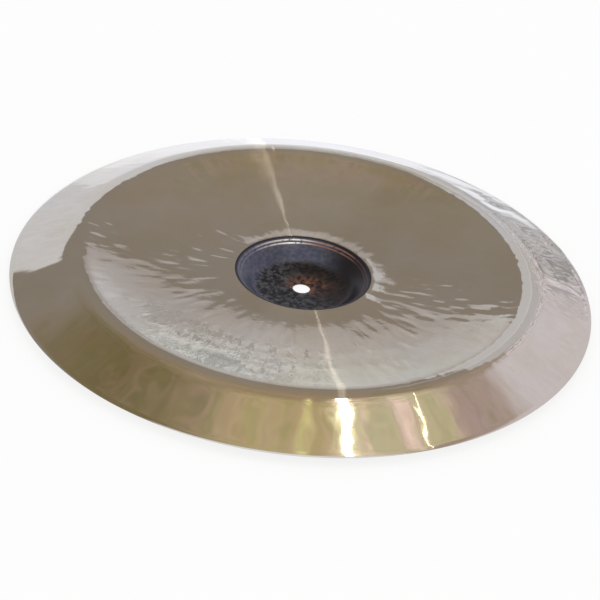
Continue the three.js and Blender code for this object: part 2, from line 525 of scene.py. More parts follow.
def tube_lamp(name, turn, first_tilt, last_tilt, width, brightness, tint):
    """A long narrow area lamp that shines straight down, between two mirrored places. Its power is
    its brightness times pi times its area, so that its face shows that brightness in a mirror."""
    turn, first_tilt, last_tilt = map(math.radians, (turn, first_tilt, last_tilt))
    start = mirrored_place(turn, first_tilt)
    end = mirrored_place(turn, last_tilt)
    along = end - start
    data = bpy.data.lights.new(name, "AREA")
    data.shape = "RECTANGLE"
    data.size = width
    data.size_y = along.length
    data.energy = brightness * math.pi * width * along.length
    data.color = tint
    lamp = add_to_scene(name, data)
    lamp.location = (start + end) / 2
    lamp.rotation_euler = (0, 0, math.atan2(-along.x, along.y))
    lamp.visible_camera = False
    return lamp


for name, turn, tilts, *finish in TUBES:
    for number, (first_tilt, last_tilt) in enumerate(zip(tilts, tilts[1:]), start=1):
        made = tube_lamp(f"{name}_{number}", turn, first_tilt, last_tilt, *finish)
        print(made.name, "is", round(made.data.size_y, 2), "m long")

# %% [markdown]
# ## The side panel
#
# The room so far is endlessly far away, so two spots that tilt alike mirror the same thing. The
# photograph breaks that rule on the right of the ridge: it stays pale where the bow at the same
# tilt is brown. Something pale stands close by, so that only the right side of the cymbal sees it.
# It is a panel with soft edges, crossed by a thin bright arc and a little darker outside it. All
# of this is worked out from the place on the panel. Only mirrored rays see it.

# %% Put up the side panel
PANEL_AWAY = 0.80
PANEL_BOTTOM = 0.1
PANEL_LEFT = 0.105
PANEL_LEFT_SOFTNESS = 0.012
PANEL_RIGHT = (0.50, 0.62)
PANEL_FOOT = (0.30, 0.46)
PANEL_TOP = 0.45
PANEL_TOP_SOFTNESS = 0.05
PANEL_TOP_CLIMB = 1.3
PANEL_HEAD = (0.88, 0.98)
PANEL_REACH = (0.60, 1.20)
PANEL_COLOUR = rgb(0.58, 0.60, 0.69)
PANEL_OUTER_COLOUR = rgb(0.52, 0.53, 0.60)
ARC_COLOUR = rgb(0.70, 0.72, 0.80)
ARC_CENTRE = (0.06, 0.0, 0.54)
ARC_RADIUS = 0.272
ARC_HALF_WIDTH = 0.022
ARC_FOOT = (0.16, 0.22)
ARC_LEFT = (0.10, 0.16)


def outside_arc(tree, place):
    """How far a place on the panel lies outside the bright arc, below zero inside it."""
    flat = vector_maths(tree, "MULTIPLY", place, (1, 0, 1))
    away = vector_maths(tree, "DISTANCE", flat, ARC_CENTRE, output="Value")
    return maths(tree, "SUBTRACT", away, ARC_RADIUS)


def panel_material():
    """Glows inside its soft edges and is clear outside them. The top edge climbs to the right, and
    the bright arc crosses the panel and goes on below its foot."""
    material = bpy.data.materials.new("side_panel")
    tree = empty_tree(material)
    place = put(tree, "ShaderNodeTexCoord", output="Object")
    x, _, z = parts_of(tree, place)
    left = (PANEL_LEFT - PANEL_LEFT_SOFTNESS, PANEL_LEFT + PANEL_LEFT_SOFTNESS)
    across = window_of(tree, x, left, PANEL_RIGHT)
    below_top = maths(tree, "SUBTRACT", z, times(tree, x, PANEL_TOP_CLIMB))
    upwards = smooth_range(tree, below_top, PANEL_TOP, PANEL_TOP - PANEL_TOP_SOFTNESS)
    upwards = times(tree, upwards, window_of(tree, z, PANEL_FOOT, PANEL_HEAD))
    outside = outside_arc(tree, place)
    half = ARC_HALF_WIDTH
    arc = times(tree, window_of(tree, outside, (-half, 0.0), (0.0, half)),
                window_of(tree, z, ARC_FOOT, PANEL_HEAD))
    colour = blend(tree, smooth_range(tree, outside, 0.0, half), PANEL_COLOUR, PANEL_OUTER_COLOUR)
    colour = blend(tree, arc, colour, ARC_COLOUR)
    arc_here = times(tree, arc, smooth_range(tree, x, *ARC_LEFT))
    share = maths(tree, "MAXIMUM", times(tree, across, upwards), arc_here)
    glow = put(tree, "ShaderNodeEmission", {"Color": colour})
    surface = mixed_shaders(tree, share, put(tree, "ShaderNodeBsdfTransparent"), glow)
    put(tree, "ShaderNodeOutputMaterial", {"Surface": surface})
    return material


def flat_sheet(name, corners, material):
    """A piece of the room that is one four-sided face."""
    mesh = bpy.data.meshes.new(name)
    mesh.from_pydata(corners, [], [(0, 1, 2, 3)])
    mesh.materials.append(material)
    return add_to_scene(name, mesh)


def side_panel():
    """An upright rectangle PANEL_AWAY behind the cymbal."""
    right, top = PANEL_REACH
    places = ((0, PANEL_BOTTOM), (right, PANEL_BOTTOM), (right, top), (0, top))
    panel = flat_sheet("side_panel", [(x, PANEL_AWAY, z) for x, z in places], panel_material())
    for kind in ("camera", "diffuse", "transmission", "shadow", "volume_scatter"):
        setattr(panel, "visible_" + kind, False)
    return panel


side_panel()
print("the side panel stands", PANEL_AWAY, "m away")

# %% [markdown]
# ## The floor
#
# The floor is one large white sheet. It has to look white to the camera and has to keep the
# cymbal's soft shadow, so its surface is part plain white that is lit, and part white that glows.
# Mirrored rays see a glow alone. It is white round the cymbal and fades to grey far away, as a
# studio sweep does beyond its lamps, with soft folds far to the right. Under the cymbal it is dark
# and warm, as a shaded floor is, or the underside of the bronze would look like cream. From below
# the floor is clear.

# %% Lay the floor
FLOOR_REACH = 12.0
FLOOR_WHITE = grey(0.9)
FLOOR_GLOW_SHARE = 0.80
FLOOR_NEAR = 0.226
FLOOR_FAR = 0.37
FLOOR_LEFT_TO_RIGHT = (-0.10, 0.15)
FLOOR_FAR_GREY_LEFT = 0.80
FLOOR_FAR_GREY_RIGHT = 0.62
FLOOR_TINT = (1.00, 1.04, 1.17)
FLOOR_SHADED = rgb(0.30, 0.27, 0.23)
SHADE_REACH = (0.150, 0.222)
FOLD_X = ((0.03, 0.09), (0.50, 0.90))
FOLD_Y = ((0.20, 0.26), (0.90, 1.50))
FOLD_SCALE = 12.0
FOLD_EDGES = (0.44, 0.58)
FOLD_SHADE = 0.36


def folds(tree, place, x, y):
    """How much light the folds of the sheet leave, far to the right of the cymbal only."""
    where = times(tree, window_of(tree, x, *FOLD_X), window_of(tree, y, *FOLD_Y))
    noise = soft_noise(tree, place, FOLD_SCALE, 2.0)
    shade = times(tree, smooth_range(tree, noise, *FOLD_EDGES), where)
    return maths(tree, "SUBTRACT", 1.0, times(tree, shade, FOLD_SHADE))


def mirrored_floor(tree, place):
    """The colour of the floor that mirrored rays see: shaded under the cymbal, white at FLOOR_NEAR
    from its axis and grey at FLOOR_FAR, darker on the right than on the left."""
    x, y, _ = parts_of(tree, place)
    away = length_of(tree, place)
    far_grey = smooth_range(tree, x, *FLOOR_LEFT_TO_RIGHT, FLOOR_FAR_GREY_LEFT,
                            FLOOR_FAR_GREY_RIGHT)
    light = times(tree, folds(tree, place, x, y),
                  smooth_range(tree, away, FLOOR_NEAR, FLOOR_FAR, 1.0, far_grey))
    unshaded = smooth_range(tree, away, *SHADE_REACH)
    return blend(tree, unshaded, FLOOR_SHADED, scaled(tree, FLOOR_TINT, light))


def floor_material():
    """Lit white mixed with glowing white for the camera, a glow alone for mirrored rays, and
    nothing from below."""
    material = bpy.data.materials.new("studio_floor")
    tree = empty_tree(material)
    place = put(tree, "ShaderNodeTexCoord", output="Object")
    camera_ray = put(tree, "ShaderNodeLightPath", output="Is Camera Ray")
    mirrored_ray = put(tree, "ShaderNodeLightPath", output="Is Glossy Ray")
    colour = blend(tree, camera_ray, mirrored_floor(tree, place), WHITE)
    lit = put(tree, "ShaderNodeBsdfDiffuse", {"Color": FLOOR_WHITE})
    glow = put(tree, "ShaderNodeEmission", {"Color": colour})
    share = maths(tree, "MAXIMUM", times(tree, camera_ray, FLOOR_GLOW_SHARE), mirrored_ray)
    from_above = mixed_shaders(tree, share, lit, glow)
    from_below = put(tree, "ShaderNodeNewGeometry", output="Backfacing")
    clear = put(tree, "ShaderNodeBsdfTransparent")
    surface = mixed_shaders(tree, from_below, from_above, clear)
    put(tree, "ShaderNodeOutputMaterial", {"Surface": surface})
    return material


def studio_floor():
    """A square sheet through zero height, FLOOR_REACH to each side of the axis."""
    places = ((-1, -1), (1, -1), (1, 1), (-1, 1))
    corners = [(FLOOR_REACH * x, FLOOR_REACH * y, 0.0) for x, y in places]
    return flat_sheet("studio_floor", corners, floor_material())


studio_floor()
print("floor", 2 * FLOOR_REACH, "m square")

# %% [markdown]
# ## The profile of the sheet
#
# A cymbal is turned, so its form is one curve swept round an axis. We could draw the curve as a
# spline and use Screw, but a few arcs that touch each other say more about the thing: every
# stretch has a start, a slope to bend to and a place to end. The stretches are the seat, the
# floor, the rounded corner, the wall with its rings, the lip, the low collar round the cup, the
# nearly level inner bow, the dish, the ridge and the flange. The values are those of the CAD part,
# in metres, apart from a collar that falls from the lip a degree more steeply: the reflections ask
# for it, and it moves the sheet by a tenth of a millimetre.

# %% Sizes of the profile
CROWN_HEIGHT = CYMBAL_HIGH.z
FLANGE_WIDTH = 47.15 * MM
RIDGE_OUT = RIM_RADIUS - FLANGE_WIDTH
DISH_OUT = 82.0 * MM
COLLAR_OUT = 64.0 * MM
LIP_OUT = 47.8 * MM
FLOOR_OUT = 30.5 * MM
SEAT_OUT = 14.0 * MM
HOLE_OUT = 6.0 * MM

RIDGE_ABOVE_RIM = CROWN_HEIGHT - RIM_HEIGHT
LIP_ABOVE_RIM = 7.7 * MM
CUP_DEPTH = 13.2 * MM
FLOOR_RISE = 0.7 * MM

RIDGE_ROUNDING = 30.0 * MM
LIP_ROUNDING = 3.5 * MM
FLOOR_ROUNDING = 10.0 * MM

LIP_SLOPE = math.radians(-3.5)
COLLAR_SLOPE = math.radians(1.5)
DISH_SLOPE = math.radians(3.0)

SHEET_AT_CUP = 1.3 * MM
SHEET_AT_RIM = 0.8 * MM
RIM_EDGE = 0.5 * MM
BEVEL_WIDTH = 0.8 * MM


def bend(start, end_slope, end_out, rows):
    """Rows (out, up, slope) of an arc that leaves start and bends evenly to end_slope at end_out.
    Its radius is the way out over the change of the slope's sine; the sheet's height then changes
    by that radius times the change of the slope's cosine."""
    out, up, slope = start
    slopes = np.linspace(slope, end_slope, rows + 1)[1:]
    radius = (end_out - out) / (math.sin(end_slope) - math.sin(slope))
    outs = out + radius * (np.sin(slopes) - math.sin(slope))
    ups = up - radius * (np.cos(slopes) - math.cos(slope))
    return np.column_stack([outs, ups, slopes])


def straight(start, end, rows):
    """Evenly spaced rows of the straight line from start to end, with the line's own slope."""
    steps = np.linspace(0, 1, rows + 1)[1:]
    outs = start[0] + steps * (end[0] - start[0])
    ups = start[1] + steps * (end[1] - start[1])
    slope = math.atan2(end[1] - start[1], end[0] - start[0])
    return np.column_stack([outs, ups, np.full(rows, slope)])


def centre_of(row, radius):
    """The centre of a circle that touches the sheet at a row, below it for a positive radius."""
    out, up, slope = row
    return np.array([out + radius * math.sin(slope), up - radius * math.cos(slope)])


print("rim radius", round(RIM_RADIUS / MM, 2), "mm, ridge at", round(RIDGE_OUT / MM, 2), "mm")

# %% [markdown]
# The straight stretches touch the roundings at both ends, so their slopes come from the two
# circles. The flange leaves the rim and touches the ridge's circle. The dish is a circle that
# touches both the inner bow and the ridge's circle. The cup's wall touches the corner's circle
# from above and the lip's from below.

# %% Slopes where the stretches touch
def flange_slope():
    """How steeply the flange falls: the angle up to the ridge's centre less the angle that the
    ridge's radius takes up at that distance."""
    below = RIDGE_ROUNDING - RIDGE_ABOVE_RIM
    reach = math.hypot(FLANGE_WIDTH, below)
    return math.atan2(below, FLANGE_WIDTH) - math.asin(RIDGE_ROUNDING / reach)


def dish_end(start):
    """Slope and place where the dish meets the ridge: the two circles touch, so their centres lie
    as far apart as their radii added up."""
    ridge_centre = np.array([RIDGE_OUT, RIDGE_ABOVE_RIM - RIDGE_ROUNDING])
    apart = np.array(start[:2]) - ridge_centre
    upright = np.array([-math.sin(start[2]), math.cos(start[2])])
    radius = (apart @ apart - RIDGE_ROUNDING**2) / (2 * (RIDGE_ROUNDING - apart @ upright))
    between = centre_of(start, -radius) - ridge_centre
    slope = math.atan2(-between[0], between[1])
    return slope, RIDGE_OUT - RIDGE_ROUNDING * math.sin(slope)


def wall_slope(floor_edge, lip):
    """The slope of the line between two circles that it touches from opposite sides: the slope of
    the line of centres plus the angle whose sine is both radii over the centres' distance."""
    low = centre_of(floor_edge, -FLOOR_ROUNDING)
    high = centre_of(lip, LIP_ROUNDING)
    across, rise = high - low
    both = FLOOR_ROUNDING + LIP_ROUNDING
    return math.atan2(rise, across) + math.asin(both / math.hypot(across, rise))


print("the flange falls at", round(-math.degrees(flange_slope()), 2), "degrees")

# %% [markdown]
# The rows are close together where the sheet bends or carries marks, and the under face is the
# same curve set one sheet's thickness below, square to it. Fewer rows do there.

# %% Trace the upper face
RING_PLACES_OUT = (43.4 * MM, 45.0 * MM)
RING_BITE = 0.24 * MM
RING_LIP = 0.25 * MM
RING_WIDTH = 1.3 * MM


def rim_row():
    """The last row of the flange, before its edge gets a bevel: so far in that the half-round edge
    of the sheet that the bevel leaves ends at the rim's radius."""
    fall = flange_slope()
    half = RIM_EDGE / 2
    inwards = half - (SHEET_AT_RIM - half) * math.sin(-fall)
    return RIM_RADIUS - inwards, inwards * math.tan(-fall), fall


def wall_rows(start, end):
    """Rows of the cup's straight wall, one at each lip, bite and end of a ring."""
    places = np.array(RING_PLACES_OUT)
    outs = np.concatenate([places, places + RING_LIP, places + RING_WIDTH, [end[0]]])
    outs = np.sort(outs[(outs > start[0]) & (outs <= end[0])])
    ups = start[1] + (outs - start[0]) * math.tan(end[2])
    return np.column_stack([outs, ups, np.full(len(outs), end[2])])


def upper_rows(fineness=1.0):
    """All rows of the upper face from the hole to the rim. fineness scales how many there are."""
    def rows(count):
        return max(2, round(count * fineness))

    floor_up = LIP_ABOVE_RIM - CUP_DEPTH
    hole_row = np.array([[HOLE_OUT + SHEET_AT_CUP / 2, floor_up, 0.0]])
    seat = straight(hole_row[0], (SEAT_OUT, floor_up), rows(3))
    floor_slope = 2 * math.atan2(FLOOR_RISE, FLOOR_OUT - SEAT_OUT)
    cup_floor = bend(seat[-1], floor_slope, FLOOR_OUT, rows(4))
    lip = (LIP_OUT, LIP_ABOVE_RIM, LIP_SLOPE)
    slope = wall_slope(cup_floor[-1], lip)
    corner_reach = FLOOR_ROUNDING * (math.sin(slope) - math.sin(floor_slope))
    corner = bend(cup_floor[-1], slope, FLOOR_OUT + corner_reach, rows(5))
    lip_centre = centre_of(lip, LIP_ROUNDING)
    wall_top = (lip_centre[0] - LIP_ROUNDING * math.sin(slope),
                lip_centre[1] + LIP_ROUNDING * math.cos(slope), slope)
    wall = wall_rows(corner[-1], wall_top)
    lip_round = bend(wall_top, LIP_SLOPE, LIP_OUT, rows(4))
    collar = bend(lip, COLLAR_SLOPE, COLLAR_OUT, rows(5))
    inner_bow = bend(collar[-1], DISH_SLOPE, DISH_OUT, rows(6))
    end_slope, end_out = dish_end(inner_bow[-1])
    dish = bend(inner_bow[-1], end_slope, end_out, rows(22))
    ridge_end = RIDGE_OUT - RIDGE_ROUNDING * math.sin(flange_slope())
    ridge = bend(dish[-1], flange_slope(), ridge_end, rows(10))
    flange = straight(ridge[-1], rim_row(), rows(12))
    return np.vstack([hole_row, seat, cup_floor, corner, wall, lip_round, collar, inner_bow, dish,
                      ridge, flange])


UPPER = upper_rows()
print("upper face:", len(UPPER), "rows, from", UPPER[0, 0] / MM, "to", UPPER[-1, 0] / MM, "mm out")

# %% [markdown]
# ## The hammer marks
#
# A hammered bow isn't smooth: thousands of blows leave shallow dents, turned down later until only
# a few hundredths of a millimetre are left. On a mirror that is plenty, since a tilt of half a
# degree moves the border between wall and ceiling by a centimetre. Sculpting or a displacement
# texture could make them; here each blow is a bell-shaped dent, long towards the cup and narrow
# across, and the sum of all blows is one product of two matrices, which takes no time at all.

# %% Strike the blows
# Where blows are harder or softer: the middle and the half width in degrees, and by what share.
HARDER_ON_BOW = ((-20, 16, 0.90), (178, 12, 0.54))
SOFTER_ON_BOW = ((-77, 7, 0.60), (103, 7, 0.60), (-115, 22, 0.40))
HARDER_ON_FLANGE = ((40, 26, 0.50),)
SOFTER_ON_FLANGE = ((-85, 38, 0.90), (180, 30, 0.50))
HARDER_NEAR_CUP = 0.35
CUP_NEIGHBOURHOOD = (115 * MM, 70 * MM)
DEEPER_ON_FLANGE = ((42, 26, 2.4),)


def dents(outs, turns, places, lengths, widths, depths):
    """Heights of the sheet after many blows, one for each row and sector. A blow is a bell in the
    way out, times a bell along the arc round the axis, times its depth. The first bell depends
    only on the row and the second only on the sector, so the sum over all blows is the product of
    a matrix of rows by blows and a matrix of blows by sectors."""
    blow_outs, blow_turns = places
    along = np.exp(-0.5 * ((outs[:, None] - blow_outs) / lengths) ** 2)
    apart = np.angle(np.exp(1j * (turns[:, None] - blow_turns)))
    across = np.exp(-0.5 * (apart * blow_outs / widths) ** 2)
    return (along * depths) @ across.T


def scatter(random, count, inner, outer):
    """Places of blows, evenly spread over a ring: the square of the way out is even."""
    blow_outs = np.sqrt(random.uniform(inner**2, outer**2, count))
    return blow_outs, random.uniform(0, 2 * math.pi, count)


def fade(outs, start, end):
    """A smooth step, 0 at start and 1 at end."""
    share = np.clip((outs - start) / (end - start), 0, 1)
    return share * share * (3 - 2 * share)


def within(turns, middle, half_width):
    """A bell over the turns: 1 at the middle and about a seventh at twice the half width."""
    from_middle = np.angle(np.exp(1j * (turns - math.radians(middle))))
    return np.exp(-0.5 * (from_middle / math.radians(half_width)) ** 2)


def shares_at(turns, table):
    """The sum of the bells of a table: each has a middle, a half width and a height."""
    return sum(share * within(turns, middle, half_width) for middle, half_width, share in table)


def hardness(places):
    """How hard the blows are at their places: 1, more near the cup, and more or less on the bow
    and on the flange where the four tables say so."""
    outs, turns = places
    on_flange = fade(outs, RIDGE_OUT - 8 * MM, RIDGE_OUT + 2 * MM)
    on_bow = 1 - on_flange
    hard = 1 + HARDER_NEAR_CUP * fade(outs, *CUP_NEIGHBOURHOOD)
    hard = hard + on_bow * shares_at(turns, HARDER_ON_BOW)
    hard = hard * (1 - on_bow * shares_at(turns, SOFTER_ON_BOW))
    hard = hard + on_flange * shares_at(turns, HARDER_ON_FLANGE)
    return hard * (1 - on_flange * shares_at(turns, SOFTER_ON_FLANGE))


def narrow_marks(random, outs, turns):
    """Long narrow marks all over. A few of them are much deeper than the rest."""
    count = 5600
    places = scatter(random, count, LIP_OUT, RIM_RADIUS)
    lengths = random.uniform(2.4, 5.0, count) * MM
    widths = random.uniform(1.1, 2.1, count) * MM
    tilts = np.radians(1.9) * (0.12 + 0.88 * random.uniform(0, 1, count) ** 2)
    signs = random.choice([-1, 1], count)
    return dents(outs, turns, places, lengths, widths, signs * tilts * widths * hardness(places))


def flange_marks(random, outs, turns):
    """Broader marks on the flange only, deepest on its far right. They make the strips of light
    wavy and ruffle what the flange mirrors of the floor."""
    count = 420
    places = scatter(random, count, RIDGE_OUT + 15 * MM, RIM_RADIUS)
    lengths = random.uniform(3.5, 7.0, count) * MM
    widths = random.uniform(4.0, 8.0, count) * MM
    depths = -0.080 * MM * random.uniform(0.2, 1.0, count)
    depths = depths * (1 + shares_at(places[1], DEEPER_ON_FLANGE))
    return dents(outs, turns, places, lengths, widths, depths)


def swells(random, outs, turns):
    """Slow ups and downs of the whole sheet, from many passes of the hammer."""
    count = 240
    places = scatter(random, count, LIP_OUT, RIM_RADIUS)
    lengths = random.uniform(12, 20, count) * MM
    widths = random.uniform(9, 16, count) * MM
    depths = 0.10 * MM * random.uniform(-1.0, 0.7, count)
    return dents(outs, turns, places, lengths, widths, depths)


def hammered(outs, turns):
    """Height that the hammer adds or takes, fading out at the cup and at the rim."""
    random = np.random.default_rng(11)
    marks = narrow_marks(random, outs, turns)
    marks = marks + flange_marks(random, outs, turns) + swells(random, outs, turns)
    near_cup = fade(outs, LIP_OUT, LIP_OUT + 3 * MM)[:, None]
    near_rim = fade(outs, RIM_RADIUS, RIM_RADIUS - 3 * MM)[:, None]
    return marks * near_cup * near_rim


SECTORS = 880
TURNS = np.linspace(0, 2 * math.pi, SECTORS, endpoint=False)
MARKS = hammered(UPPER[:, 0], TURNS)
print("hammer marks from", round(MARKS.min() / MM, 3), "to", round(MARKS.max() / MM, 3), "mm")

# %% [markdown]
# ## The rings in the cup
#
# High on the cup's wall the turning tool left two rings, each a small step. They are real
# geometry, because they catch the light from every side: a saw tooth of the way out, cut into the
# sheet square to its surface.

# %% Cut the rings
def ring_bites(outs):
    """How deep the tool bit at each row: nothing at a ring's place, RING_BITE just outside it, and
    then an even climb back over the ring's width."""
    past = outs[:, None] - np.array(RING_PLACES_OUT)
    drop = past / RING_LIP
    climb = (RING_WIDTH - past) / (RING_WIDTH - RING_LIP)
    return RING_BITE * np.clip(np.minimum(drop, climb), 0, 1).sum(axis=1)


print("deepest bite", round(ring_bites(UPPER[:, 0]).max() / MM, 3), "mm")

# %% [markdown]
# ## The sheet as a mesh
#
# The rows of the upper face with a small bevel at the rim, a half-round edge there, the rows of the
# under face and another half-round edge at the hole make one closed loop of rows. Swept round the
# axis it is a grid that closes on itself both ways, so there are no seams and no poles. The hammer
# marks go straight into the heights of both faces, since a blow dents a thin sheet right through.

# %% Close the loop of rows
def sheet_thickness(outs):
    """One thickness inside the cup, and from its lip to the rim an even thinning."""
    share = np.clip((outs - LIP_OUT) / (RIM_RADIUS - LIP_OUT), 0, 1)
    return SHEET_AT_CUP + share * (SHEET_AT_RIM - SHEET_AT_CUP)


def half_round(top, bottom, rows):
    """Rows of the half circle that bulges from the end of the top face to that of the bottom face,
    without the two ends. It starts along the face's own direction."""
    middle = (top + bottom) / 2
    radius = (top - bottom) / 2
    forward = np.array([radius[1], -radius[0]])
    turn = np.linspace(0, math.pi, rows + 2)[1:-1, None]
    return middle + radius * np.cos(turn) + forward * np.sin(turn)


def face_below(rows):
    """The rows of the under face: each row moved by the sheet's thickness, square to the sheet."""
    thick = sheet_thickness(rows[:, 0])
    outs = rows[:, 0] + thick * np.sin(rows[:, 2])
    ups = rows[:, 1] - thick * np.cos(rows[:, 2])
    return np.column_stack([outs, ups])


def bevelled(top, fall):
    """The rows of the top face with a bevel at the rim: the last row gives way to one that lies
    BEVEL_WIDTH further in on the flange, and one that is sunk until RIM_EDGE of the sheet is left."""
    end = top[-1]
    along = np.array([math.cos(fall), math.sin(fall)])
    upright = np.array([-math.sin(fall), math.cos(fall)])
    start = end - BEVEL_WIDTH * along
    sunk = end - (SHEET_AT_RIM - RIM_EDGE) * upright
    return np.vstack([top[:-1], start, sunk])


def loop_of_rows():
    """(out, up) of every row round the sheet's section."""
    bites = ring_bites(UPPER[:, 0])
    top = np.column_stack([UPPER[:, 0] + bites * np.sin(UPPER[:, 2]),
                           UPPER[:, 1] - bites * np.cos(UPPER[:, 2])])
    top = bevelled(top, UPPER[-1, 2])
    below = face_below(upper_rows(0.22))[::-1]
    rim = half_round(top[-1], below[0], 4)
    hole = half_round(below[-1], top[0], 3)
    return np.vstack([top, rim, below, hole])


LOOP = loop_of_rows()
print("loop of", len(LOOP), "rows makes", 2 * len(LOOP) * SECTORS, "triangles")

# %% Sweep it round the axis
def swept_points(loop):
    """Points of the grid: out times cosine and sine of the turn, and the height above the seat,
    with the hammer marks added to it and kept between the solid's lowest and highest points."""
    heights = loop[:, 1:2] + RIM_HEIGHT + hammered(loop[:, 0], TURNS)
    outs = loop[:, 0:1]
    grid = np.stack([outs * np.cos(TURNS), outs * np.sin(TURNS), heights], axis=-1)
    grid[..., 2] = np.clip(grid[..., 2], CYMBAL_LOW.z, CYMBAL_HIGH.z)
    return grid


def grid_faces(rows, sectors):
    """Corner numbers of every quad of a grid that closes on itself both ways, and the same corners
    counted on past the seam, which the map over the surface needs."""
    row, sector = np.meshgrid(np.arange(rows), np.arange(sectors), indexing="ij")
    steps = ((0, 0), (1, 0), (1, 1), (0, 1))
    corners = np.stack([((row + r) % rows) * sectors + (sector + s) % sectors for r, s in steps], -1)
    unwrapped = np.stack([np.stack([sector + s, row + r], -1) for r, s in steps], -2)
    return corners.reshape(-1, 4), unwrapped.reshape(-1, 2)


def mesh_of_grid(name, grid):
    """A smooth mesh from a grid of points, with a map whose first direction runs round the axis."""
    rows, sectors = grid.shape[:2]
    corners, unwrapped = grid_faces(rows, sectors)
    mesh = bpy.data.meshes.new(name)
    mesh.vertices.add(rows * sectors)
    mesh.vertices.foreach_set("co", grid.reshape(-1).astype(np.float32))
    mesh.loops.add(corners.size)
    mesh.loops.foreach_set("vertex_index", corners.reshape(-1).astype(np.int32))
    mesh.polygons.add(len(corners))
    mesh.polygons.foreach_set("loop_start", np.arange(0, corners.size, 4, dtype=np.int32))
    mesh.polygons.foreach_set("use_smooth", np.ones(len(corners), bool))
    mesh.update(calc_edges=True)
    layer = mesh.uv_layers.new(name="turned_sheet")
    layer.data.foreach_set("uv", (unwrapped / (sectors, rows)).reshape(-1).astype(np.float32))
    return mesh


POINTS = swept_points(LOOP)
sheet_mesh = mesh_of_grid("hammered_cymbal", POINTS)
cymbal = add_to_scene("hammered_cymbal", sheet_mesh)


def signed_volume(mesh):
    """Volume inside a closed mesh: above zero only if its faces point outwards."""
    mesh.calc_loop_triangles()
    count = len(mesh.loop_triangles)
    numbers = np.empty(3 * count, np.int32)
    mesh.loop_triangles.foreach_get("vertices", numbers)
    points = np.empty(3 * len(mesh.vertices), np.float32)
    mesh.vertices.foreach_get("co", points)
    a, b, c = points.reshape(-1, 3)[numbers.reshape(-1, 3)].astype(float).transpose(1, 0, 2)
    return np.einsum("ij,ij->i", a, np.cross(b, c)).sum() / 6


print("volume", round(signed_volume(sheet_mesh) * 1e6, 1), "cubic centimetres")

# %% [markdown]
# ## Bright bronze
#
# Turned and polished bell bronze is a warm metal that shines almost like a mirror. The turning tool
# leaves fine grooves round the axis, so light spreads across the grooves, towards and away from
# the cup, much more than along them. The shader calls that anisotropy, and its tangent says which
# way the grooves run: the map's first direction does, since it goes round the axis. A small share
# of a second shine, spread almost only across the grooves, draws each lamp out into the streaks of
# the bow-tie. A bump of thin rings, worked out from the way out alone, adds the grooves that can be
# seen one by one, and fine noise the unevenness between the hammer marks.

# %% The bronze material
BRONZE = rgb(0.88, 0.82, 0.71)
BRONZE_TARNISHED = rgb(0.85, 0.77, 0.62)
TARNISH_SCALE = 22.0
TARNISH_EDGES = (0.35, 0.70)
GROOVE_PITCH = 0.7 * MM
GROOVE_DEPTH = 0.001 * MM
PEEL_SCALE = 380.0
PEEL_DEPTH = 0.022 * MM
PEEL_ON_FLANGE = 0.2
RIDGE_INSIDE = (150 * MM, 160 * MM)
POLISHED_ROUGHNESS = 0.045
POLISHED_ANISOTROPY = 0.60
QUARTER_TURN = 0.25
SMEAR_SHARE = 0.12
SMEAR_ROUGHNESS = 0.22
SMEAR_ANISOTROPY = 0.97


def way_out(tree, place):
    """How far a place lies from the axis, in metres."""
    return length_of(tree, vector_maths(tree, "MULTIPLY", place, (1, 1, 0)))


def groove_height(tree, out):
    """Heights of the turning grooves in metres: noise that changes only with the way out."""
    along = maths(tree, "DIVIDE", out, GROOVE_PITCH)
    noise = put(tree, "ShaderNodeTexNoise", {"W": along, "Scale": 1.0, "Detail": 2.0},
                noise_dimensions="1D")
    return times(tree, noise, GROOVE_DEPTH)


def peel_height(tree, place, out):
    """Heights of the fine unevenness between the hammer marks, in metres, fainter on the flange."""
    depth = smooth_range(tree, out, *RIDGE_INSIDE, PEEL_DEPTH, PEEL_ON_FLANGE * PEEL_DEPTH)
    return times(tree, soft_noise(tree, place, PEEL_SCALE, 1.0), depth)


def bronze_material():
    """Polished metal whose mirror image is a little longer across the grooves than along them, and
    a small share of a second shine that the grooves spread far and wide across them."""
    material = bpy.data.materials.new("turned_bronze")
    tree = empty_tree(material)
    place = put(tree, "ShaderNodeTexCoord", output="Object")
    clouds = soft_noise(tree, place, TARNISH_SCALE, 3.0)
    tint = blend(tree, smooth_range(tree, clouds, *TARNISH_EDGES), BRONZE, BRONZE_TARNISHED)
    out = way_out(tree, place)
    height = plus(tree, groove_height(tree, out), peel_height(tree, place, out))
    normal = put(tree, "ShaderNodeBump", {"Strength": 1.0, "Distance": 1.0, "Height": height})
    tangent = put(tree, "ShaderNodeTangent", direction_type="UV_MAP", uv_map="turned_sheet")
    polished = put(tree, "ShaderNodeBsdfPrincipled", {
        "Base Color": tint, "Metallic": 1.0, "Roughness": POLISHED_ROUGHNESS,
        "Anisotropic": POLISHED_ANISOTROPY, "Anisotropic Rotation": QUARTER_TURN,
        "Tangent": tangent, "Normal": normal})
    smeared = put(tree, "ShaderNodeBsdfAnisotropic", {
        "Color": tint, "Roughness": SMEAR_ROUGHNESS, "Anisotropy": SMEAR_ANISOTROPY,
        "Tangent": tangent})
    surface = mixed_shaders(tree, SMEAR_SHARE, polished, smeared)
    put(tree, "ShaderNodeOutputMaterial", {"Surface": surface})
    return material


print("the second shine has a share of", SMEAR_SHARE)
